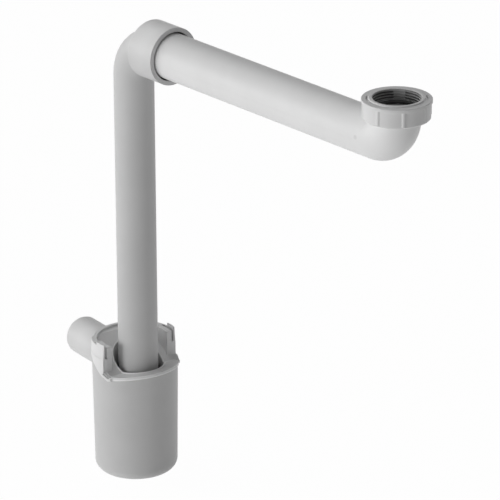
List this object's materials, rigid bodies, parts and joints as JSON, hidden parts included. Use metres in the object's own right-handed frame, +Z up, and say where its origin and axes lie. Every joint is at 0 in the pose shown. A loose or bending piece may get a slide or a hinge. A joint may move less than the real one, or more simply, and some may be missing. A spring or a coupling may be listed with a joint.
{
  "type": "sink trap",
  "caption": "Space-saving basin trap: a cup with a wall outlet, a latched cover, a tall dip tube that swivels and slides, and a long arm with an elbow and a union nut.",
  "frame": {"origin": "on the axis of the outlet spigot, 3 mm inside its mouth and just past its lead-in", "axes": "+Y out of the outlet spigot, towards the wall; +Z up, along the dip tube; +X to the right when the outlet points away"},
  "size_m": [0.1051, 0.4488, 0.438],
  "materials": {
    "body_plastic": "satin moulded white",
    "cover_plastic": "satin moulded white",
    "tube_plastic": "satin moulded white",
    "arm_plastic": "satin moulded white",
    "nut_plastic": "satin moulded white",
    "seal_rubber": "smooth black rubber",
    "gasket_rubber": "smooth black rubber"
  },
  "bodies": {
    "cup": {"trap_body": "body_plastic", "cover_seal": "seal_rubber"},
    "cover": {"trap_cover": "cover_plastic"},
    "tube_seal": {"tube_lip_seal": "seal_rubber"},
    "tube": {"dip_tube": "tube_plastic"},
    "arm_seal": {"arm_lip_seal": "seal_rubber"},
    "arm": {"arm": "arm_plastic", "union_gasket": "gasket_rubber"},
    "nut": {"union_nut": "nut_plastic"}
  },
  "joints": [
    {"name": "cover_lift", "type": "slide", "parent": "cup", "child": "cover", "axis": [0, 0, 1], "range_m": [0, 0.025]},
    {"name": "tube_swivel", "type": "hinge", "parent": "cover", "child": "tube_seal", "pos_m": [0, -0.0897, 0], "axis": [0, 0, 1], "continuous": true},
    {"name": "tube_height", "type": "slide", "parent": "tube_seal", "child": "tube", "axis": [0, 0, 1], "range_m": [-0.02, 0.03]},
    {"name": "arm_turn", "type": "hinge", "parent": "tube", "child": "arm_seal", "pos_m": [0, -0.0897, 0.3033], "axis": [0.1132, -0.9936, 0], "continuous": true},
    {"name": "arm_slide", "type": "slide", "parent": "arm_seal", "child": "arm", "axis": [0.1132, -0.9936, 0], "range_m": [-0.0012, 0.008]},
    {"name": "nut_spin", "type": "hinge", "parent": "arm", "child": "nut", "pos_m": [0.03731, -0.41718, 0.3333], "axis": [0, 0, 1], "continuous": true}
  ]
}
